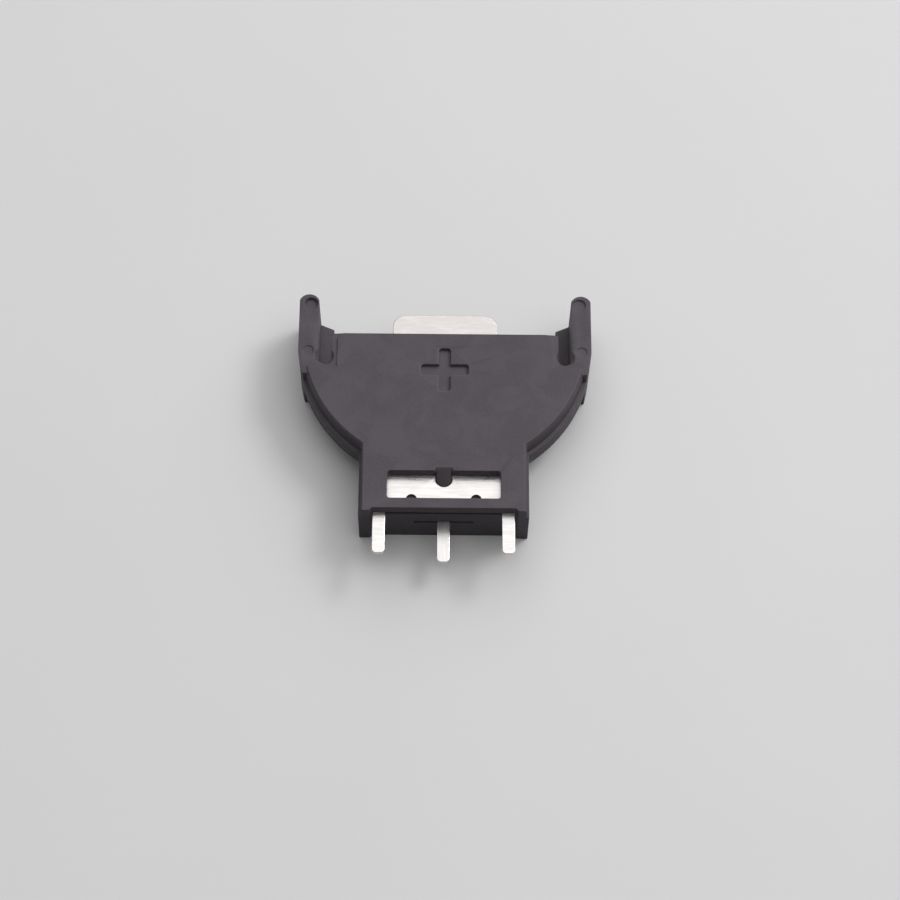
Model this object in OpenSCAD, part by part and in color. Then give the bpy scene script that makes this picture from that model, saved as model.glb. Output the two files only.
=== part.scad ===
// Upright through-hole holder for one coin cell, lying on its back.
// +Z points out of the front shield, the solder pins point along -Y and the two spring arms
// along +Y. The shapes are drawn round the centre of the cell, and place() moves them so that
// the origin is in the middle of the footprint, on the surface that the holder lies on.

/* [Cell] */
// Diameter of the coin cell
cell_d = 20; // [18:0.1:22]
// Thickness of the coin cell
cell_t = 3.2; // [3:0.1:4]
// Free space round the edge of the cell
cell_gap = 0.05; // [0.02:0.01:0.2]
// Free space in front of the cell and behind it
face_gap = 0.05; // [0.02:0.01:0.2]

/* [Front shield] */
// Thickness of the plastic in front of the positive contact
shield_t = 0.95; // [0.8:0.05:1.4]
// Width of the ledge round the shield, from its face out to the rim
ledge_w = 0.4; // [0.3:0.05:0.5]
// How much wider the shield is at the ledge than at its face
draft = 0.12; // [0.02:0.01:0.2]
// Height of the shield's straight top edge above the centre of the cell
shield_top = 0.4; // [-0.4:0.1:1.2]
// Radius of the shield's two top corners
shield_corner = 0.6; // [0.2:0.1:1]
// Chamfer round the front edges of the shield
edge_chamfer = 0.15; // [0.05:0.01:0.25]
// How far the arms and the strip beside each slot lie below the face
arm_step = 0.15; // [0.05:0.01:0.3]
// Width of that lower strip on the shield
strip_w = 0.48; // [0.3:0.01:0.8]
// Width of the strip between the closed end of each slot and the step up to the face
step_land = 0.12; // [0.05:0.01:0.3]

/* [Rim and arms] */
// Wall of the rim and of the arms
rim_wall = 1.6; // [1.2:0.05:2.2]
// Depth of the rim round the lower half of the cell, from the front face
rim_depth = 2.9; // [2.2:0.1:4]
// Reach of the arms above the centre of the cell
arm_reach = 3.95; // [3:0.05:6]
// How far the full depth of an arm runs below the centre of the cell
arm_root = 3.1; // [2.8:0.1:5]
// How far the outer face of an arm stands back from the rim
arm_set = 0.05; // [0.03:0.01:0.2]
// Radius of the arms' tips
tip_round = 0.85; // [0.82:0.01:1.5]
// Radius of the bead inside the tip of an arm
bead_r = 0.5; // [0.3:0.05:0.7]
// How far the bead stands in over the cell
bead_lift = 0.12; // [0.05:0.01:0.25]
// Width of the slot between the shield and an arm
slot_w = 1.07; // [0.7:0.01:1.4]
// Depth of that slot below the centre of the cell
slot_depth = 2.15; // [1.5:0.05:2.4]
// Chamfer round the closed end of the slot
slot_chamfer = 0.26; // [0.05:0.01:0.35]
// How far the back lip of an arm stands in behind the cell
lip_w = 0.45; // [0.3:0.05:0.65]
// Height of the back lips above the centre of the cell
lip_top = 3.5; // [1:0.1:3.8]
// Distance that the lead into a slot's closed end starts inside the slot's wall
lead_sink = 0.06; // [0.03:0.01:0.1]

/* [Ejector marks] */
// Diameter of the mark that an ejector pin leaves on an arm's tip
tip_mark_d = 1.06; // [0.3:0.02:1.1]
// How far that mark lies inwards from the middle of the arm
tip_mark_inset = 0.15; // [0:0.01:0.2]
// Depth of the mark on the tip of the left arm
left_mark_depth = 0.3; // [0.05:0.01:0.5]
// Depth of the mark on the tip of the right arm
right_mark_depth = 0.15; // [0.05:0.01:0.5]
// Diameter of the mark at an arm's root
root_mark_d = 0.85; // [0.3:0.01:1.1]
// Depth of the marks at the roots
root_mark_depth = 0.1; // [0.05:0.01:0.3]

/* [Base block] */
// Width of the block at the front
block_w = 12.82; // [12.2:0.02:15]
// How much further each side of the block stands out behind the shield
block_step = 0.2; // [0.05:0.01:0.3]
// Distance from the centre of the cell down to the board
seat_drop = 14.9; // [14.8:0.1:18]
// Height of the feet
foot_h = 0.25; // [0.15:0.05:0.5]
// Width of a foot on the board
foot_w = 0.66; // [0.4:0.02:1]
// Width of the slope on a foot's inner side
foot_slope = 0.2; // [0.1:0.05:0.5]
// Thickness of the wall that closes the back of the block, and of the back lips
back_wall = 0.85; // [0.8:0.05:1.1]
// How far that wall stands up behind the cell
back_reach = 0.9; // [0.6:0.05:1.2]
// Width of the two hollows that lighten the back of the block
core_w = 2.2; // [1:0.1:2.4]
// Height of those hollows
core_h = 2.4; // [1:0.1:2.6]
// Depth of those hollows
core_depth = 2; // [0.5:0.1:2.8]
// Wall between such a hollow and the side of the block
core_wall = 0.85; // [0.6:0.05:1.2]

/* [Window] */
// Width of the window over the positive contact
window_w = 8.8; // [6:0.1:10]
// Height of the window
window_h = 2.3; // [1.8:0.1:2.5]
// Height of the window's lower edge above the board
window_rise = 1.08; // [0.9:0.02:1.4]
// Radius of the window's corners
window_corner = 0.25; // [0.1:0.05:0.5]
// Diameter of the catch that holds the contact
catch_d = 1.18; // [0.8:0.02:1.4]
// Height of the middle of the catch above the window's lower edge
catch_rise = 1.98; // [1.9:0.01:2.3]
// How far the catch's ramp is cut past the peg on each side and below it
ramp_clear = 0.1; // [0.05:0.01:0.2]

/* [Polarity mark] */
// Length of each bar of the plus sign
plus_l = 3.7; // [2.6:0.05:4.6]
// Width of each bar
plus_w = 0.86; // [0.7:0.02:1.4]
// Radius of the corners at the ends of the bars
plus_corner = 0.22; // [0.05:0.01:0.3]
// Depth of the mark
plus_depth = 0.34; // [0.2:0.02:0.5]
// Distance of the mark below the centre of the cell
plus_drop = 2.76; // [2.7:0.02:5]

/* [Positive contact] */
// Thickness of the sheet that both contacts are cut from
sheet_t = 0.3; // [0.2:0.05:0.4]
// Width of the tail that runs up behind the shield
tail_w = 8.3; // [6:0.1:9.2]
// How far the tail stands above the shield's top edge
tail_rise = 2.15; // [1.4:0.05:4]
// Radius of the two top corners of the tail
tail_corner = 1; // [0.3:0.1:1.3]
// Distance between the two outer pins
pin_pitch = 10; // [9.6:0.1:11]
// Width of a pin
pin_w = 1; // [0.7:0.05:1.2]
// Length of the pins below the board side of the feet
pin_l = 3.13; // [2:0.01:5]
// Radius of the corners of a pin's tip
pin_corner = 0.34; // [0.1:0.02:0.35]
// Width of the tongue that is bent in at the foot of the window
tongue_w = 4.15; // [3:0.05:4.4]
// Width of the relief notch on each side of the tongue
relief_w = 0.86; // [0.5:0.02:1]
// Height of the relief notches above the window's lower edge
relief_rise = 0.72; // [0.6:0.02:0.9]
// Height of the start of the tongue's bend above the window's lower edge
bend_rise = 0.46; // [0.4:0.02:0.5]
// Length of the tongue's bent leg
tongue_l = 0.7; // [0.4:0.05:0.75]
// Free space round a contact in its slot
slot_gap = 0.03; // [0.02:0.01:0.06]
// Free space round the catch in its hole
catch_gap = 0.04; // [0.02:0.01:0.1]

/* [Negative contact] */
// Depth of the middle pin's front face below the shield's face
mid_pin_depth = 2.7; // [2.7:0.05:2.9]
// Width of the plate that is held in the block
anchor_w = 4.6; // [3:0.1:4.8]
// Width of the spring leaf at its root
leaf_w = 4; // [3.2:0.1:4.6]
// Width of the spring leaf at its tip
leaf_tip_w = 2.8; // [2:0.1:3]
// Length of the leaf's straight rise
leaf_l = 5.6; // [4:0.1:6.4]
// Angle at which the relaxed leaf rises into the space of the cell
leaf_angle = 9; // [6:0.5:11]
// Inner radius of the bends in the sheet
bend_r = 0.25; // [0.15:0.05:0.3]
// Radius of the rounded contact tip of the leaf
tip_r = 1; // [0.6:0.1:1.6]
// Length of the straight end behind the contact tip
tip_l = 0.5; // [0.3:0.05:0.8]
// Angle by which the rounded tip turns back further than the leaf rises
tip_angle = 14; // [8:1:20]
// Free space behind the leaf's root
leaf_clear = 0.12; // [0.08:0.01:0.2]
// Free space on each side of the leaf in its door
door_gap = 0.7; // [0.3:0.05:1]

/* [Hidden] */
$fn = 96;
eps = 0.01;
far = 40;

// Levels, from the surface that the holder lies on
cell_z = back_wall + face_gap;
floor_z = cell_z + cell_t + face_gap;
groove_z = floor_z + sheet_t;
face_z = groove_z + shield_t;
arm_z = face_z - arm_step;
ledge_z = floor_z - face_gap;
rim_z = face_z - rim_depth;
mid_pin_z = face_z - mid_pin_depth - sheet_t;

// Radii and outlines, from the centre of the cell
pocket_r = cell_d / 2 + cell_gap;
rim_r = pocket_r + rim_wall;
shield_r = rim_r - ledge_w;
shield_x = pocket_r - slot_w;
face_x = shield_x - strip_w;
step_y = -slot_depth - slot_chamfer - step_land;
arm_x = rim_r - arm_set;
arm_mid = (pocket_r + arm_x) / 2;
tip_y = arm_reach - tip_round;
block_x = block_w / 2;
block_top = back_reach - pocket_r;
recess_y = foot_h - seat_drop;

// Places of the contacts' features
window_y = window_rise - seat_drop;
window_top = window_y + window_h;
catch_y = window_y + catch_rise;
relief_y = window_y + relief_rise;
bend_y = window_y + bend_rise;
pin_end = -seat_drop - pin_l;
shoulder_x = (pin_pitch + pin_w) / 2;
shoulder_top = catch_y + catch_d;
shoulder_end = recess_y + sheet_t;
tail_x = tail_w / 2;
tail_top = shield_top + tail_rise;
tongue_r = bend_r + sheet_t;
anchor_top = -pocket_r - 2 * bend_r - sheet_t - cell_gap;
shelf_l = mid_pin_z - 2 * bend_r - sheet_t - leaf_clear;
door_x = leaf_w / 2 + door_gap;
core_x = block_x + block_step - core_wall - core_w / 2;

// Distance from the middle of the footprint to the centre of the cell
cell_y = -(arm_reach + pin_end) / 2;

module place() translate([0, cell_y, 0]) children();

module both_sides() {
    children();
    mirror([1, 0, 0]) children();
}

// Box between two opposite corners
module box(low, high) translate(low) cube(high - low);

// Rectangle between two opposite corners
module area(low, high) translate(low) square(high - low);

// Rectangle between two corners, with round corners of its own
module round_area(low, high, r) {
    if (high[0] - low[0] > 2 * r) area(low + [r, 0], high - [r, 0]);
    if (high[1] - low[1] > 2 * r) area(low + [0, r], high - [0, r]);
    for (x = [low[0] + r, high[0] - r], y = [low[1] + r, high[1] - r])
        translate([x, y]) circle(r);
}

// ---- Housing ----

// Slots that set the arms free of the shield
module slot_area()
    translate([shield_x, -slot_depth])
        round_area([0, 0], [slot_w, far], slot_w / 2);

// Outline of the raised face: the whole disc below the slots, a narrower plate between them
module face_area() {
    area([-rim_r, -far], [rim_r, step_y]);
    round_area([-face_x, step_y - 2 * shield_corner], [face_x, shield_top], shield_corner);
}

// Front shield: a disc cut off straight above, with a drafted side and a chamfered edge
module shield() {
    intersection() {
        union() {
            translate([0, 0, ledge_z])
                cylinder(h = face_z - edge_chamfer - ledge_z, r1 = shield_r + draft, r2 = shield_r);
            translate([0, 0, face_z - edge_chamfer])
                cylinder(h = edge_chamfer, r1 = shield_r, r2 = shield_r - edge_chamfer);
        }
        union() {
            linear_extrude(face_z + 1) face_area();
            linear_extrude(arm_z)
                round_area([-pocket_r, -far], [pocket_r, shield_top], shield_corner);
        }
    }
}

// Rim round the lower half of the cell
module rim()
    intersection() {
        translate([0, 0, rim_z]) cylinder(h = ledge_z - rim_z, r = rim_r);
        box([-far, -far, 0], [far, step_y, face_z]);
    }

// Outline of an arm: it follows the rim below, then rises straight to a round tip with a bead
module arm_area() {
    intersection() {
        difference() {
            circle(rim_r);
            circle(pocket_r);
        }
        area([shield_x, -arm_root], [arm_x, -slot_depth / 2]);
    }
    intersection() {
        area([pocket_r, -slot_depth / 2], [arm_x, arm_reach]);
        union() {
            area([pocket_r, -arm_root], [arm_x, tip_y]);
            translate([arm_mid, tip_y]) circle(tip_round);
        }
    }
    translate([pocket_r + bead_r - bead_lift, tip_y]) circle(bead_r);
}

// Back lip of an arm, which ends above in a slope that leads the cell in
module lip_area()
    polygon([[pocket_r - lip_w, -arm_root], [arm_mid, -arm_root], [arm_mid, lip_top],
        [pocket_r, lip_top], [pocket_r - lip_w, lip_top - lip_w]]);

// Base block: its sides step out behind the shield, and its front edges are chamfered
module block() {
    box([-block_x - block_step, -seat_drop, 0], [block_x + block_step, block_top, ledge_z]);
    rotate([90, 0, 0])
        translate([0, 0, -block_top - rim_wall])
            linear_extrude(seat_drop + block_top + rim_wall)
                polygon([[-block_x, rim_z], [block_x, rim_z], [block_x, face_z - edge_chamfer],
                    [block_x - edge_chamfer, face_z], [edge_chamfer - block_x, face_z],
                    [-block_x, face_z - edge_chamfer]]);
}

// Space of the cell, open above between the arms
module cell_space() {
    intersection() {
        translate([0, 0, back_wall]) cylinder(h = floor_z - back_wall, r = pocket_r);
        box([-far, -far, 0], [far, -slot_depth / 2, face_z]);
    }
    box([-shield_x - slot_w / 2, -slot_depth, back_wall], [shield_x + slot_w / 2, far, floor_z]);
}

// Catch that stands in the contact's hole: a round peg whose front slopes off in a long ramp
module catch_peg()
    translate([0, catch_y, floor_z]) cylinder(h = face_z - floor_z, d = catch_d);

// What the ramp takes off the peg and off the window's upper edge
module catch_ramp()
    rotate([90, 0, 90])
        linear_extrude(catch_d + 2 * ramp_clear, center = true)
            polygon([[window_top + shield_t / 3, face_z],
                [catch_y - catch_d / 2, groove_z - ramp_clear],
                [catch_y - catch_d, groove_z - ramp_clear], [catch_y - catch_d, face_z + 1],
                [window_top + shield_t / 3, face_z + 1]]);

// Slots in the block for the positive contact, and the groove for its tail
module positive_slots() {
    box([-shoulder_x - slot_gap, -far, floor_z - slot_gap],
        [shoulder_x + slot_gap, shoulder_top + slot_gap, groove_z]);
    box([-tail_x - slot_gap, shoulder_top, floor_z - slot_gap], [tail_x + slot_gap, far, groove_z]);
    // room for the bent tongue
    box([-tongue_w / 2 - relief_w / 2, bend_y - tongue_r - slot_gap,
            floor_z - bend_r - tongue_l - slot_gap],
        [tongue_w / 2 + relief_w / 2, bend_y, floor_z]);
}

// Slot in the block for the negative contact, and the door through which its leaf comes out
module negative_slots() {
    box([-anchor_w / 2 - slot_gap, -far, mid_pin_z - slot_gap],
        [anchor_w / 2 + slot_gap, anchor_top + eps, mid_pin_z + sheet_t + slot_gap]);
    box([-door_x, anchor_top, -1], [door_x, -pocket_r / 2, mid_pin_z + sheet_t + slot_gap]);
}

// Hollows in the back of the block
module core()
    box([core_x - core_w / 2, recess_y + core_wall, -1],
        [core_x + core_w / 2, recess_y + core_wall + core_h, core_depth]);

// Free height under the block between its feet
module foot_gap()
    linear_extrude(far, center = true)
        polygon([
            [-block_x + foot_w, -seat_drop - 1], [-block_x + foot_w, -seat_drop],
            [-block_x + foot_w + foot_slope, recess_y], [block_x - foot_w - foot_slope, recess_y],
            [block_x - foot_w, -seat_drop], [block_x - foot_w, -seat_drop - 1]
        ]);

// Plus sign sunk into the shield
module polarity_mark()
    translate([0, -plus_drop, face_z - plus_depth])
        linear_extrude(1)
            for (turn = [0, 90])
                rotate(turn)
                    round_area([-plus_l / 2, -plus_w / 2], [plus_l / 2, plus_w / 2], plus_corner);

module housing() {
    color("#2b292c") place() {
        difference() {
            union() {
                shield();
                rim();
                block();
                both_sides() linear_extrude(arm_z) arm_area();
            }
            cell_space();
            both_sides() translate([0, 0, -1]) linear_extrude(far) slot_area();
            both_sides() slot_lead();
            translate([0, 0, groove_z - eps])
                linear_extrude(far)
                    round_area([-window_w / 2, window_y], [window_w / 2, window_top], window_corner);
            positive_slots();
            negative_slots();
            both_sides() core();
            foot_gap();
            polarity_mark();
            catch_ramp();
            ejector_marks();
        }
        difference() {
            catch_peg();
            catch_ramp();
        }
        both_sides() linear_extrude(back_wall) lip_area();
    }
}

// Chamfer round the closed end of a slot
module slot_lead() {
    sink = slot_chamfer + lead_sink;
    translate([shield_x + slot_w / 2, slot_w / 2 - slot_depth, arm_z - sink])
        cylinder(h = sink + 1, r1 = slot_w / 2 - lead_sink, r2 = slot_w / 2 + slot_chamfer + 1);
}

// Mark of one ejector pin on an arm
module ejector_mark(x, y, d, depth)
    translate([x, y, arm_z - depth]) cylinder(h = 1, d = d);

// Marks at the roots and at the tips of the arms; the pin of the left tip stood further out
module ejector_marks() {
    both_sides() ejector_mark(arm_mid, -slot_depth / 2, root_mark_d, root_mark_depth);
    ejector_mark(tip_mark_inset - arm_mid, tip_y, tip_mark_d, left_mark_depth);
    ejector_mark(arm_mid - tip_mark_inset, tip_y, tip_mark_d, right_mark_depth);
}

// ---- Contacts ----

// Outline of a pin from its root down to its rounded tip
module pin_area(x, root)
    round_area([x - pin_w / 2, pin_end], [x + pin_w / 2, root], pin_corner);

// Flat outline of the positive contact, without its tongue
module positive_area()
    difference() {
        union() {
            area([-shoulder_x, shoulder_end], [shoulder_x, shoulder_top]);
            area([-tail_x, shoulder_top - 1], [tail_x, tail_top - tail_corner]);
            round_area([-tail_x, shield_top - tail_corner], [tail_x, tail_top], tail_corner);
            for (x = [-pin_pitch / 2, pin_pitch / 2]) pin_area(x, shoulder_end + 1);
        }
        translate([0, catch_y]) circle(d = catch_d + 2 * catch_gap);
        // the tongue is bent out of the sheet between two round-ended notches
        area([-tongue_w / 2 - eps, -far], [tongue_w / 2 + eps, bend_y]);
        both_sides()
            round_area([tongue_w / 2, shoulder_end - 2], [tongue_w / 2 + relief_w, relief_y],
                relief_w / 2);
    }

// Leg of the tongue: a quarter bend into the block and a short straight end
module tongue()
    translate([0, bend_y, floor_z - bend_r])
        rotate([90, 0, 90])
            linear_extrude(tongue_w, center = true) {
                intersection() {
                    difference() {
                        circle(tongue_r);
                        circle(bend_r);
                    }
                    area([-tongue_r, 0], [eps, tongue_r]);
                }
                area([-tongue_r, -tongue_l], [-bend_r, eps]);
            }

module positive_contact() {
    color("#d9d6cf") place() {
        translate([0, 0, floor_z]) linear_extrude(sheet_t) positive_area();
        tongue();
    }
}

// Side view of a bent strip. Each step is [straight length, bend angle, inner radius]; a
// positive angle bends the strip to the left of its direction of travel, and 0 ends it.
module bent_strip(steps, i = 0) {
    if (i < len(steps)) {
        length = steps[i][0];
        angle = steps[i][1];
        reach = steps[i][2] + sheet_t / 2;
        turn = sign(angle);
        area([-eps, -sheet_t / 2], [length + eps, sheet_t / 2]);
        if (angle != 0) translate([length, turn * reach]) {
            bend(angle, steps[i][2]);
            rotate(angle) translate([0, -turn * reach]) bent_strip(steps, i + 1);
        }
    }
}

// One bend of the strip, drawn round its centre
module bend(angle, inner) {
    outer = inner + sheet_t;
    start = -90 * sign(angle);
    intersection() {
        difference() {
            circle(outer);
            circle(inner);
        }
        polygon([[0, 0], for (k = [0 : 4]) let (a = start + angle * k / 4)
            2 * outer * [cos(a), sin(a)]]);
    }
}

// Outline of the negative contact above its anchor plate, seen from the front
module leaf_area() {
    area([-anchor_w / 2, shoulder_end], [anchor_w / 2, anchor_top]);
    pin_area(0, shoulder_end + 1);
    polygon([[-leaf_w / 2, anchor_top - eps], [leaf_w / 2, anchor_top - eps],
        [leaf_w / 2, -pocket_r], [leaf_tip_w / 2, -pocket_r + leaf_l],
        [leaf_tip_w / 2, 0], [-leaf_tip_w / 2, 0],
        [-leaf_tip_w / 2, -pocket_r + leaf_l], [-leaf_w / 2, -pocket_r]]);
}

module negative_contact() {
    color("#d9d6cf") place()
        intersection() {
            translate([0, pin_end, mid_pin_z + sheet_t / 2])
                rotate([90, 0, 90])
                    linear_extrude(anchor_w, center = true)
                        bent_strip([
                            [anchor_top - pin_end, -90, bend_r],
                            [shelf_l, 90 + leaf_angle, bend_r],
                            [leaf_l, -2 * leaf_angle - tip_angle, tip_r],
                            [tip_l, 0, 0]
                        ]);
            linear_extrude(far) leaf_area();
        }
}

housing();
positive_contact();
negative_contact();
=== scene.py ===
"""Studio scene of an upright holder for one coin cell.

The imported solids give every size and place. Each solid is copied, its moulded or punched edges
are rounded, and the copy stands for the solid. Only the back lips of the housing are made wider
than in the solid. Lengths are in metres, but zones and finishes work in millimetres.
"""

import logging
import math
from dataclasses import dataclass, field
from enum import Enum

import bmesh
import bpy
from mathutils import Matrix, Vector


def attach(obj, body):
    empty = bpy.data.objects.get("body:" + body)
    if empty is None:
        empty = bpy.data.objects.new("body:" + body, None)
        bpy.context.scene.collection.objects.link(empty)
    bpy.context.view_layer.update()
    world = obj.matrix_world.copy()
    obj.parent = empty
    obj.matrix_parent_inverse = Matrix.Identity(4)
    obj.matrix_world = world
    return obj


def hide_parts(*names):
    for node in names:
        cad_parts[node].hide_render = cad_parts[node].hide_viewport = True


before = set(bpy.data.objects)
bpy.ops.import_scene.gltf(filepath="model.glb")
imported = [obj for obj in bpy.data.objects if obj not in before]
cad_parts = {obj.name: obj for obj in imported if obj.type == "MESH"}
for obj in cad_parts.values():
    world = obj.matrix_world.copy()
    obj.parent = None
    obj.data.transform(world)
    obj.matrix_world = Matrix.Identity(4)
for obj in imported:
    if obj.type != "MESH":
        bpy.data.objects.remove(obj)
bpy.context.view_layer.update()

MM = 0.001
BODY = "root"
LOG = logging.getLogger("coin_cell_holder")

Colour = tuple[float, float, float]
Point = tuple[float, float, float]

# Noise textures vary around this value
NOISE_MIDDLE = 0.5


# ---- Shader nodes ----


class Value:
    """A shader socket that can be used in arithmetic."""

    def __init__(self, tree: "ShaderTree", socket: bpy.types.NodeSocket) -> None:
        """Keeps the socket and the tree that it belongs to.

        Args:
            tree: The tree that new nodes are added to.
            socket: The output socket that carries the value.
        """
        self.tree = tree
        self.socket = socket

    def __add__(self, other: "Operand") -> "Value":
        """Returns self + other."""
        return self.tree.math("ADD", self, other)

    def __radd__(self, other: "Operand") -> "Value":
        """Returns other + self."""
        return self.tree.math("ADD", other, self)

    def __sub__(self, other: "Operand") -> "Value":
        """Returns self - other."""
        return self.tree.math("SUBTRACT", self, other)

    def __rsub__(self, other: "Operand") -> "Value":
        """Returns other - self."""
        return self.tree.math("SUBTRACT", other, self)

    def __mul__(self, other: "Operand") -> "Value":
        """Returns self * other."""
        return self.tree.math("MULTIPLY", self, other)

    def __rmul__(self, other: "Operand") -> "Value":
        """Returns other * self."""
        return self.tree.math("MULTIPLY", other, self)


Operand = Value | float


class ShaderTree:
    """The node tree of one material, built from expressions."""

    def __init__(self, name: str) -> None:
        """Makes an empty node material.

        Args:
            name: The material's name.
        """
        self.material = bpy.data.materials.new(name)
        self.material.use_nodes = True
        self.nodes = self.material.node_tree.nodes
        self.links = self.material.node_tree.links
        self.nodes.clear()

    def node(
        self,
        kind: str,
        settings: dict[str, object] | None = None,
        sockets: dict[int | str, object] | None = None,
        output: int | str = 0,
    ) -> Value:
        """Adds one node.

        Args:
            kind: The node's type.
            settings: Properties that are set before the sockets.
            sockets: Values or links, by the socket's name or number.
            output: Name or number of the output that is returned.

        Returns:
            The chosen output, or the first one.
        """
        made = self.nodes.new(kind)
        for key, setting in (settings or {}).items():
            setattr(made, key, setting)
        for key, value in (sockets or {}).items():
            if isinstance(value, Value):
                self.links.new(value.socket, made.inputs[key])
            else:
                made.inputs[key].default_value = value
        return Value(self, made.outputs[output] if made.outputs else made.inputs[0])

    def math(self, operation: str, first: Operand, second: Operand) -> Value:
        """Adds a Math node.

        Args:
            operation: The node's operation.
            first: Its first operand.
            second: Its second operand.

        Returns:
            The result.
        """
        return self.node("ShaderNodeMath", {"operation": operation}, {0: first, 1: second})

    def blend(self, factor: Operand, low: object, high: object) -> Value:
        """Mixes two colours.

        Args:
            factor: 0 for the first colour, 1 for the second.
            low: The first colour, or a link to it.
            high: The second colour, or a link to it.

        Returns:
            The mixed colour.
        """
        return self.node(
            "ShaderNodeMix", {"data_type": "RGBA"}, {0: factor, 6: low, 7: high}, output=2
        )

    def step(self, value: Value, start: float, end: float) -> Value:
        """Turns a value into a soft mask.

        Args:
            value: The value to test.
            start: Where the mask is 0.
            end: Where the mask is 1.

        Returns:
            The mask, from 0 to 1.
        """
        return self.node(
            "ShaderNodeMapRange",
            {"interpolation_type": "SMOOTHSTEP"},
            {"Value": value, "From Min": start, "From Max": end},
        )

    def millimetres(self, stretch: Point = (1.0, 1.0, 1.0)) -> Value:
        """Gives the place on the piece in millimetres.

        Args:
            stretch: A factor for each axis.

        Returns:
            The scaled Object coordinates.
        """
        place = self.node("ShaderNodeTexCoord", output="Object")
        factors = tuple(factor / MM for factor in stretch)
        return self.node("ShaderNodeVectorMath", {"operation": "MULTIPLY"}, {0: place, 1: factors})

    def noise(self, place: Value, scale: float, detail: float = 2.0, warp: float = 0.0) -> Value:
        """Adds a noise texture.

        Args:
            place: Where it is read.
            scale: Its features for each unit of place.
            detail: How many finer layers it has.
            warp: How much it is distorted.

        Returns:
            The noise, around 0.5.
        """
        return self.node(
            "ShaderNodeTexNoise",
            {"normalize": True},
            {"Vector": place, "Scale": scale, "Detail": detail, "Distortion": warp},
        )

    def attribute(self, name: str) -> Value:
        """Reads a number that the mesh carries.

        Args:
            name: The attribute's name.

        Returns:
            Its value.
        """
        return self.node("ShaderNodeAttribute", {"attribute_name": name}, output="Fac")

    def bump(self, height: Value, depth: float, below: Value | None = None) -> Value:
        """Adds a Bump node.

        Args:
            height: The relief, from 0 to 1.
            depth: The height of a full step, in metres.
            below: The normal that it starts from.

        Returns:
            The bent normal.
        """
        sockets: dict[int | str, object] = {"Height": height, "Distance": depth, "Strength": 1.0}
        if below is not None:
            sockets["Normal"] = below
        return self.node("ShaderNodeBump", None, sockets)

    def finish(self, surface: dict[int | str, object]) -> bpy.types.Material:
        """Adds the surface shader and the output.

        Args:
            surface: Values or links of the Principled shader's sockets.

        Returns:
            The finished material.
        """
        shader = self.node("ShaderNodeBsdfPrincipled", None, surface)
        self.node("ShaderNodeOutputMaterial", None, {"Surface": shader})
        return self.material


# ---- Finishes ----


EDGE = "rounded_edge"


class Grain(Enum):
    """The way in which a rolled sheet's streaks run."""

    ACROSS = (0.10, 1.0, 1.0)
    ALONG = (1.0, 0.10, 1.0)


@dataclass(frozen=True)
class MouldedPlastic:
    """Black plastic from a fine spark-eroded mould, with a satin face, smoother edges and a
    painted highlight on the rounded edges.
    """

    name: str = "black_moulded_plastic"
    dark: Colour = (0.075, 0.065, 0.076)
    light: Colour = (0.091, 0.080, 0.092)
    # edge: lighter colour on the rounded edges, a painted highlight
    edge: Colour = (0.106, 0.094, 0.107)
    roughness: float = 0.55
    shine: float = 0.22
    cloud_scale: float = 0.45
    cloud_warp: float = 0.6
    cloud_share: float = 0.8
    cloud_roughness: float = 0.18
    grain_scale: float = 4.5
    grain_share: float = 0.2
    grain_roughness: float = 0.12
    grain_depth: float = 0.028 * MM
    noise_detail: float = 3.0
    dark_below: float = 0.35
    light_above: float = 0.65
    edge_highlight_strength: float = 0.6
    edge_smoothing: float = 0.06

    def make(self) -> bpy.types.Material:
        """Builds the material.

        Returns:
            The material.
        """
        tree = ShaderTree(self.name)
        place = tree.millimetres()
        cloud = tree.noise(place, self.cloud_scale, self.noise_detail, self.cloud_warp)
        grain = tree.noise(place, self.grain_scale, self.noise_detail)
        rounded = tree.attribute(EDGE)
        mottle = cloud * self.cloud_share + grain * self.grain_share
        tone = tree.step(mottle, self.dark_below, self.light_above)
        face = tree.blend(tone, (*self.dark, 1.0), (*self.light, 1.0))
        # painted highlight: the faces of the rounded edges are blended towards the lighter edge
        # colour
        colour = tree.blend(rounded * self.edge_highlight_strength, face, (*self.edge, 1.0))
        rough = (
            self.roughness
            + (cloud - NOISE_MIDDLE) * self.cloud_roughness
            + (grain - NOISE_MIDDLE) * self.grain_roughness
            - rounded * self.edge_smoothing
        )
        return tree.finish(
            {
                "Base Color": colour,
                "Roughness": rough,
                "Normal": tree.bump(grain, self.grain_depth),
                "Specular IOR Level": self.shine,
            }
        )


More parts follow.
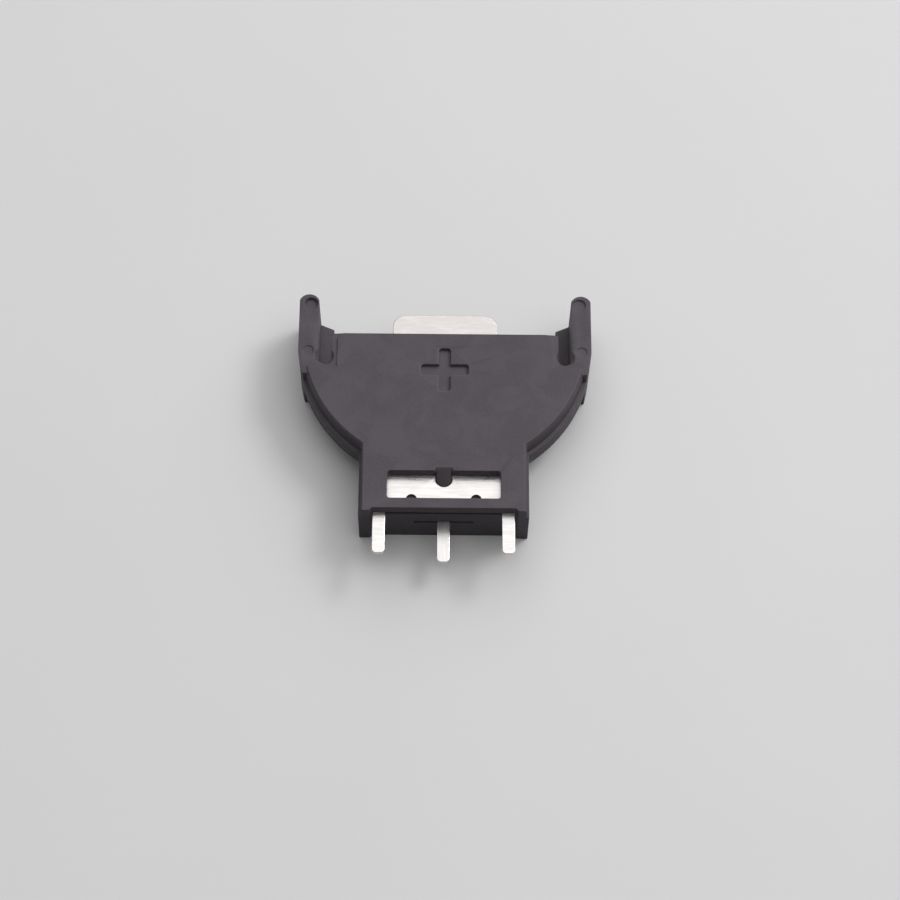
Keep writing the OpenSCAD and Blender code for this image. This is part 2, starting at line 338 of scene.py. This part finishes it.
@dataclass(frozen=True)
class PlatedSheet:
    """Bright tin plating on rolled sheet, with fine streaks and a darker tail."""

    name: str
    grain: Grain
    bright: Colour = (0.72, 0.70, 0.69)
    dull: Colour = (0.62, 0.60, 0.59)
    tail: Colour = (0.53, 0.50, 0.49)
    tail_start: float = 7.0
    tail_end: float = 7.6
    tail_strength: float = 1.2
    tail_streaks: float = 0.5
    roughness: float = 0.30
    streak_scale: float = 5.0
    streak_detail: float = 4.0
    streak_warp: float = 0.8
    streak_share: float = 0.75
    streak_roughness: float = 0.22
    streak_depth: float = 0.010 * MM
    cloud_scale: float = 0.8
    cloud_detail: float = 3.0
    cloud_share: float = 0.25
    cloud_roughness: float = 0.20
    dull_below: float = 0.36
    bright_above: float = 0.62
    edge_smoothing: float = 0.08

    def make(self) -> bpy.types.Material:
        """Builds the material.

        Returns:
            The material.
        """
        tree = ShaderTree(self.name)
        place = tree.millimetres()
        along = tree.millimetres(self.grain.value)
        streaks = tree.noise(along, self.streak_scale, self.streak_detail, self.streak_warp)
        cloud = tree.noise(place, self.cloud_scale, self.cloud_detail)
        rounded = tree.attribute(EDGE)
        mottle = streaks * self.streak_share + cloud * self.cloud_share
        wear = tree.step(mottle, self.dull_below, self.bright_above)
        plated = tree.blend(wear, (*self.dull, 1.0), (*self.bright, 1.0))
        # the tail, above tail_start along Y, is made darker
        height = tree.node("ShaderNodeSeparateXYZ", None, {"Vector": place}, output="Y")
        tail_mask = tree.step(height, self.tail_start, self.tail_end)
        tail_darkening = tail_mask * (self.tail_strength - wear * self.tail_streaks)
        colour = tree.blend(tail_darkening, plated, (*self.tail, 1.0))
        rough = (
            self.roughness
            + (cloud - NOISE_MIDDLE) * self.cloud_roughness
            + (streaks - NOISE_MIDDLE) * self.streak_roughness
            - rounded * self.edge_smoothing
        )
        return tree.finish(
            {
                "Base Color": colour,
                "Metallic": 1.0,
                "Roughness": rough,
                "Normal": tree.bump(streaks, self.streak_depth),
            }
        )


@dataclass(frozen=True)
class FloorPaint:
    """Plain pale floor with a faint mottle, which throws little light up on the holder."""

    name: str = "pale_floor"
    pale: Colour = (0.690, 0.682, 0.690)
    paler: Colour = (0.715, 0.707, 0.715)
    dim: Colour = (0.12, 0.11, 0.12)
    roughness: float = 0.65
    mottle_scale: float = 0.05
    mottle_detail: float = 4.0

    def make(self) -> bpy.types.Material:
        """Builds the material.

        Returns:
            The material.
        """
        tree = ShaderTree(self.name)
        mottle = tree.noise(tree.millimetres(), self.mottle_scale, self.mottle_detail)
        seen = tree.node("ShaderNodeLightPath", output="Is Camera Ray")
        reflected = tree.node("ShaderNodeLightPath", output="Is Glossy Ray")
        pale = tree.blend(mottle, (*self.pale, 1.0), (*self.paler, 1.0))
        shown = tree.math("MAXIMUM", seen, reflected)
        colour = tree.blend(shown, (*self.dim, 1.0), pale)
        return tree.finish({"Base Color": colour, "Roughness": self.roughness})


# ---- Pieces ----


@dataclass(frozen=True)
class RoundingZone:
    """A box, in millimetres, whose edges have a radius of their own; 0 keeps them sharp."""

    low: Point
    high: Point
    radius: float

    def holds(self, edge: bmesh.types.BMEdge) -> bool:
        """Tells whether an edge lies in the box.

        Args:
            edge: The edge to test.

        Returns:
            Whether both its ends lie inside.
        """
        return all(
            low <= place / MM <= high
            for vert in edge.verts
            for low, place, high in zip(self.low, vert.co, self.high)
        )


@dataclass(frozen=True)
class EdgeRounding:
    """How the edges of a piece are rounded."""

    radius: float
    zones: tuple[RoundingZone, ...] = ()
    segments: int = 3
    sharp_angle: float = math.radians(24)
    merge_distance: float = 0.001 * MM
    flat_angle: float = math.radians(0.5)
    widest_face: int = 4

    @property
    def largest(self) -> float:
        """Returns the largest radius of any edge."""
        return max([self.radius, *(zone.radius for zone in self.zones)])

    def radius_of(self, edge: bmesh.types.BMEdge) -> float:
        """Gives the radius of an edge.

        Args:
            edge: The edge to look up.

        Returns:
            The radius of the first zone that holds it, or the common one.
        """
        return next((zone.radius for zone in self.zones if zone.holds(edge)), self.radius)

    def weigh(self, mesh: bmesh.types.BMesh) -> None:
        """Merges the loose triangles of a copied solid and weighs its sharp edges.

        Args:
            mesh: The mesh, changed in place.
        """
        bmesh.ops.remove_doubles(mesh, verts=mesh.verts, dist=self.merge_distance)
        bmesh.ops.dissolve_limit(
            mesh, angle_limit=self.flat_angle, verts=mesh.verts, edges=mesh.edges
        )
        wide = [face for face in mesh.faces if len(face.verts) > self.widest_face]
        bmesh.ops.triangulate(mesh, faces=wide, quad_method="BEAUTY", ngon_method="BEAUTY")
        weights = mesh.edges.layers.float.new("bevel_weight_edge")
        for edge in mesh.edges:
            if edge.calc_face_angle(0.0) > self.sharp_angle:
                edge[weights] = self.radius_of(edge) / self.largest
                edge.smooth = edge[weights] > 0.0

    def rounded(self, data: bpy.types.Mesh) -> bpy.types.Mesh:
        """Rounds the weighed edges of a mesh.

        Args:
            data: The mesh with its weights.

        Returns:
            A new mesh, whose faces carry 1 on the rounded edges.
        """
        model = bpy.data.objects.new("rounding", data)
        bpy.context.scene.collection.objects.link(model)
        # two empty slots, so that the faces of the rounded edges can take the second
        for _ in range(2):
            data.materials.append(None)
        bevel = model.modifiers.new("rounding", "BEVEL")
        bevel.limit_method = "WEIGHT"
        bevel.width = self.largest
        bevel.segments = self.segments
        bevel.profile = 0.5
        bevel.use_clamp_overlap = False
        bevel.loop_slide = False
        bevel.material = 1
        bevel.face_strength_mode = "FSTR_ALL"
        shaped = model.evaluated_get(bpy.context.evaluated_depsgraph_get())
        made = bpy.data.meshes.new_from_object(shaped)
        bpy.data.objects.remove(model)
        marks = made.attributes.new(EDGE, "FLOAT", "FACE")
        for face, mark in zip(made.polygons, marks.data):
            mark.value = float(face.material_index)
            face.material_index = 0
            face.use_smooth = True
        made.materials.clear()
        return made


@dataclass
class SolidCopy:
    """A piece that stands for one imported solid, with its edges rounded."""

    node: str
    name: str
    slot: str
    rounding: EdgeRounding

    def adjust(self, mesh: bmesh.types.BMesh) -> None:
        """Leaves the copied solid as it is."""

    def build(self, material: bpy.types.Material) -> bpy.types.Object:
        """Copies the solid, rounds it, dresses it and puts it in the solid's place.

        Args:
            material: The finish of the whole piece.

        Returns:
            The finished piece.
        """
        mesh = bmesh.new()
        mesh.from_mesh(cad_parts[self.node].data)
        self.adjust(mesh)
        self.rounding.weigh(mesh)
        sharp = bpy.data.meshes.new(self.node)
        mesh.to_mesh(sharp)
        mesh.free()
        data = self.rounding.rounded(sharp)
        data.name = self.name
        data.materials.append(material)
        piece = bpy.data.objects.new(self.name, data)
        bpy.context.scene.collection.objects.link(piece)
        normals = piece.modifiers.new("face_normals", "WEIGHTED_NORMAL")
        normals.mode = "FACE_AREA"
        normals.keep_sharp = True
        normals.use_face_influence = True
        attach(piece, BODY)
        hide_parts(self.node)
        LOG.info("%s: %d faces", self.name, len(data.polygons))
        return piece


def mirrored(low: Point, high: Point, radius: float) -> tuple[RoundingZone, RoundingZone]:
    """Makes the same zone on both sides of the holder.

    Args:
        low: Least corner on the right side.
        high: Greatest corner on the right side.
        radius: The radius in both zones.

    Returns:
        The right zone and the left one.
    """
    left_low = (-high[0], low[1], low[2])
    left_high = (-low[0], high[1], high[2])
    return RoundingZone(low, high, radius), RoundingZone(left_low, left_high, radius)


# Tight corners stay sharp, where a round edge would fold over. The first zone that fits counts.
HOUSING_ZONES = (
    *mirrored((9.3, 10.4, -0.1), (10.3, 10.7, 3.2), 0.0),
    *mirrored((8.9, 3.8, -0.1), (10.6, 4.3, 0.9), 0.0),
    *mirrored((9.3, 4.3, 0.7), (9.95, 5.1, 4.3), 0.0),
    *mirrored((8.9, 4.3, 4.9), (10.3, 6.1, 5.45), 0.0),
    *mirrored((11.0, 4.2, 5.0), (11.7, 4.62, 5.3), 0.0),
    *mirrored((8.0, 4.3, 5.1), (12.0, 4.62, 5.45), 0.03 * MM),
    *mirrored((8.3, 7.3, 5.1), (9.2, 7.5, 5.3), 0.03 * MM),
    *mirrored((5.3, -7.7, 2.0), (5.7, -7.5, 5.0), 0.0),
    RoundingZone((-1.95, 2.3, 5.3), (1.95, 6.25, 5.45), 0.14 * MM),
    RoundingZone((-1.95, 2.3, 5.0), (1.95, 6.25, 5.1), 0.03 * MM),
)


@dataclass
class HousingCopy(SolidCopy):
    """The housing's copy, whose back lips are as wide as the slots in front of them."""

    lip_edge: float = 9.6 * MM
    slot_edge: float = 8.99 * MM
    lip_front: float = 0.86 * MM
    slack: float = 0.01 * MM

    def adjust(self, mesh: bmesh.types.BMesh) -> None:
        """Moves the inner edges of the back lips inwards.

        Args:
            mesh: The copied solid, changed in place.
        """
        for vert in mesh.verts:
            side = math.copysign(1.0, vert.co.x)
            if vert.co.z < self.lip_front and abs(side * vert.co.x - self.lip_edge) < self.slack:
                vert.co.x = side * self.slot_edge


@dataclass
class Housing:
    """The moulded housing: shield, rim, arms and base block in one piece."""

    finish: MouldedPlastic = field(default_factory=MouldedPlastic)
    rounding: EdgeRounding = EdgeRounding(0.05 * MM, HOUSING_ZONES)

    def build(self) -> bpy.types.Object:
        """Builds and dresses the housing.

        Returns:
            The housing.
        """
        solid = HousingCopy("housing", "moulded_housing", "housing", self.rounding)
        return solid.build(self.finish.make())


CONTACT_ZONES = (
    *mirrored((1.7, -7.7, 3.0), (3.2, -5.7, 4.5), 0.0),
    RoundingZone((-3.1, -7.7, 3.0), (3.1, -6.3, 4.5), 0.0),
    RoundingZone((-2.4, -4.2, 0.0), (2.4, -2.7, 2.8), 0.0),
    RoundingZone((-2.4, 3.2, 0.0), (2.4, 3.8, 4.2), 0.0),
)


@dataclass
class Contacts:
    """The two punched contacts with their solder pins."""

    rounding: EdgeRounding = EdgeRounding(0.05 * MM, CONTACT_ZONES)

    def build(self) -> list[bpy.types.Object]:
        """Builds and dresses both contacts.

        Returns:
            The positive and the negative contact.
        """
        across = PlatedSheet("plated_sheet_across", Grain.ACROSS)
        along = PlatedSheet("plated_sheet_along", Grain.ALONG)
        positive = SolidCopy("positive_contact", "positive_plate", "contacts", self.rounding)
        negative = SolidCopy("negative_contact", "negative_spring", "contacts", self.rounding)
        return [positive.build(across.make()), negative.build(along.make())]


# ---- Studio ----


@dataclass(frozen=True)
class SoftBox:
    """A square soft lamp that looks at the holder."""

    name: str
    azimuth: float
    elevation: float
    distance: float
    side: float
    radiance: float

    def build(self, target: Vector) -> bpy.types.Object:
        """Puts the lamp in its place.

        Args:
            target: The point that it looks at.

        Returns:
            The lamp.
        """
        lamp = bpy.data.lights.new(self.name, "AREA")
        lamp.shape = "SQUARE"
        lamp.size = self.side
        lamp.energy = self.radiance * math.pi * self.side**2
        lit = bpy.data.objects.new(self.name, lamp)
        direction = towards(self.azimuth, self.elevation)
        lit.location = target + direction * self.distance
        lit.rotation_euler = direction.to_track_quat("Z", "Y").to_euler()
        bpy.context.scene.collection.objects.link(lit)
        LOG.info("%s: %.2f W", self.name, lamp.energy)
        return lit


def towards(azimuth: float, elevation: float) -> Vector:
    """Gives a direction seen from the holder.

    Args:
        azimuth: Degrees from -Y towards +X.
        elevation: Degrees above the floor.

    Returns:
        The unit vector.
    """
    turn = math.radians(azimuth)
    lift = math.radians(elevation)
    level = math.cos(lift)
    return Vector((math.sin(turn) * level, -math.cos(turn) * level, math.sin(lift)))


@dataclass(frozen=True)
class Viewpoint:
    """The camera: it looks down steeply on the front shield."""

    azimuth: float = -0.66
    elevation: float = 64.97
    roll: float = 1.10
    distance: float = 190 * MM
    lens: float = 98.07
    target: Point = (0.453 * MM, -2.723 * MM, 5.4 * MM)

    def build(self) -> bpy.types.Object:
        """Makes the scene's camera.

        Returns:
            The camera.
        """
        back = towards(self.azimuth, self.elevation)
        right = Vector((0.0, 0.0, 1.0)).cross(back).normalized()
        turn = Matrix.Rotation(math.radians(self.roll), 3, back)
        x_axis = turn @ right
        y_axis = back.cross(x_axis)
        pose = Matrix((x_axis, y_axis, back)).transposed().to_4x4()
        pose.translation = Vector(self.target) + back * self.distance
        camera = bpy.data.cameras.new("camera")
        camera.lens = self.lens
        camera.sensor_width = 36.0
        camera.clip_start = 10 * MM
        camera.clip_end = 10.0
        placed = bpy.data.objects.new("camera", camera)
        placed.matrix_world = pose
        bpy.context.scene.collection.objects.link(placed)
        bpy.context.scene.camera = placed
        return placed


@dataclass
class Studio:
    """Pale floor, soft lamps, pale surroundings and the camera."""

    floor_side: float = 4.0
    floor_finish: FloorPaint = field(default_factory=FloorPaint)
    surroundings: float = 0.16
    backdrop: float = 0.8
    view: Viewpoint = field(default_factory=Viewpoint)
    key: SoftBox = SoftBox("key_softbox", 150.0, 62.0, 0.50, 0.92, 1.3)
    side: SoftBox = SoftBox("side_softbox", 122.0, 48.0, 0.60, 0.18, 9.0)

    def floor(self) -> bpy.types.Object:
        """Lays the floor under the holder.

        Returns:
            The floor.
        """
        mesh = bmesh.new()
        bmesh.ops.create_grid(mesh, x_segments=1, y_segments=1, size=self.floor_side / 2)
        data = bpy.data.meshes.new("floor")
        mesh.to_mesh(data)
        mesh.free()
        data.materials.append(self.floor_finish.make())
        laid = bpy.data.objects.new("floor", data)
        bpy.context.scene.collection.objects.link(laid)
        return laid

    def world(self) -> None:
        """Lights the scene evenly, and shows a pale background."""
        world = bpy.data.worlds.new("surroundings")
        world.use_nodes = True
        tree = world.node_tree
        tree.nodes.clear()
        path = tree.nodes.new("ShaderNodeLightPath")
        strength = tree.nodes.new("ShaderNodeMapRange")
        strength.inputs["To Min"].default_value = self.surroundings
        strength.inputs["To Max"].default_value = self.backdrop
        sky = tree.nodes.new("ShaderNodeBackground")
        out = tree.nodes.new("ShaderNodeOutputWorld")
        tree.links.new(path.outputs["Is Camera Ray"], strength.inputs["Value"])
        tree.links.new(strength.outputs["Result"], sky.inputs["Strength"])
        tree.links.new(sky.outputs["Background"], out.inputs["Surface"])
        sky.inputs["Color"].default_value = (1.0, 1.0, 1.0, 1.0)
        bpy.context.scene.world = world

    def build(self) -> None:
        """Builds the whole studio."""
        target = Vector(self.view.target)
        self.view.build()
        self.floor()
        self.world()
        self.key.build(target)
        self.side.build(target)
        bpy.context.scene.view_settings.view_transform = "Standard"
        LOG.info("studio: floor, surroundings, two softboxes and the camera")


def main() -> None:
    """Builds the studio and the holder."""
    logging.basicConfig(level=logging.INFO, format="%(name)s: %(message)s")
    Studio().build()
    Housing().build()
    Contacts().build()


if __name__ == "__main__":
    main()
